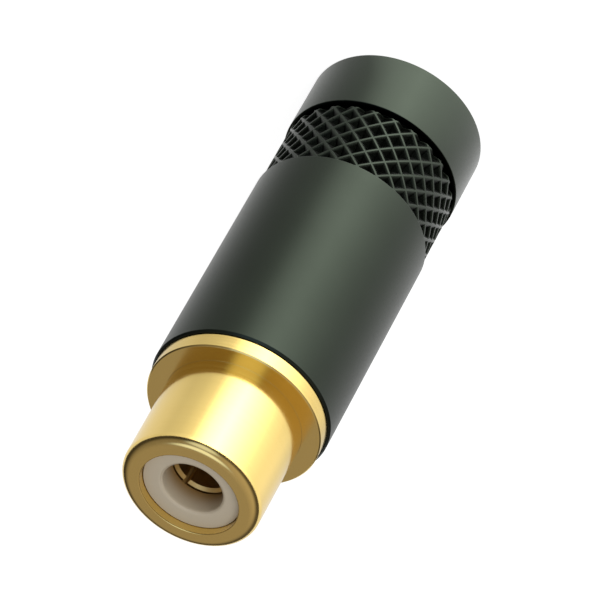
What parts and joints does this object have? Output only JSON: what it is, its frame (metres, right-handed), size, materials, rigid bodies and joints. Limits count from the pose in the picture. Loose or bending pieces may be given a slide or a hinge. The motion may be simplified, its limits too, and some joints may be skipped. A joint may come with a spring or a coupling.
{
  "type": "in-line phono cable socket",
  "caption": "Female in-line phono socket for an audio cable: gold-plated barrel with a white insulator, and a black screw-on shell with a diamond-knurled grip band.",
  "frame": {"origin": "centre of the shell's rear face, where the cable enters", "axes": "+Z along the connector's axis, from the cable end to the mouth"},
  "size_m": [0.0108, 0.0108, 0.0325],
  "materials": {
    "black_plated_brass": "satin",
    "gold_plated_brass": "polished",
    "gold_plated_contact": "polished",
    "white_plastic": "satin",
    "sleeve_plastic": "gloss"
  },
  "bodies": {
    "shell": {"shell": "black_plated_brass"},
    "sleeve": {"insulating_sleeve": "sleeve_plastic"},
    "socket": {"socket_body": "gold_plated_brass", "front_insulator": "white_plastic", "rear_insulator": "white_plastic", "centre_contact": "gold_plated_contact", "earth_lug": "gold_plated_contact"}
  },
  "joints": [
    {"name": "socket_advance", "type": "slide", "parent": "shell", "child": "sleeve", "axis": [0, 0, 1], "range_m": [0, 0.0045]},
    {"name": "socket_turn", "type": "hinge", "parent": "sleeve", "child": "socket", "pos_m": [0, 0, 0], "axis": [0, 0, 1], "range_deg": [0, 2160]}
  ],
  "couplings": [
    {"joint": "socket_turn", "follows": "socket_advance", "rad_per_m": 8377.6}
  ]
}
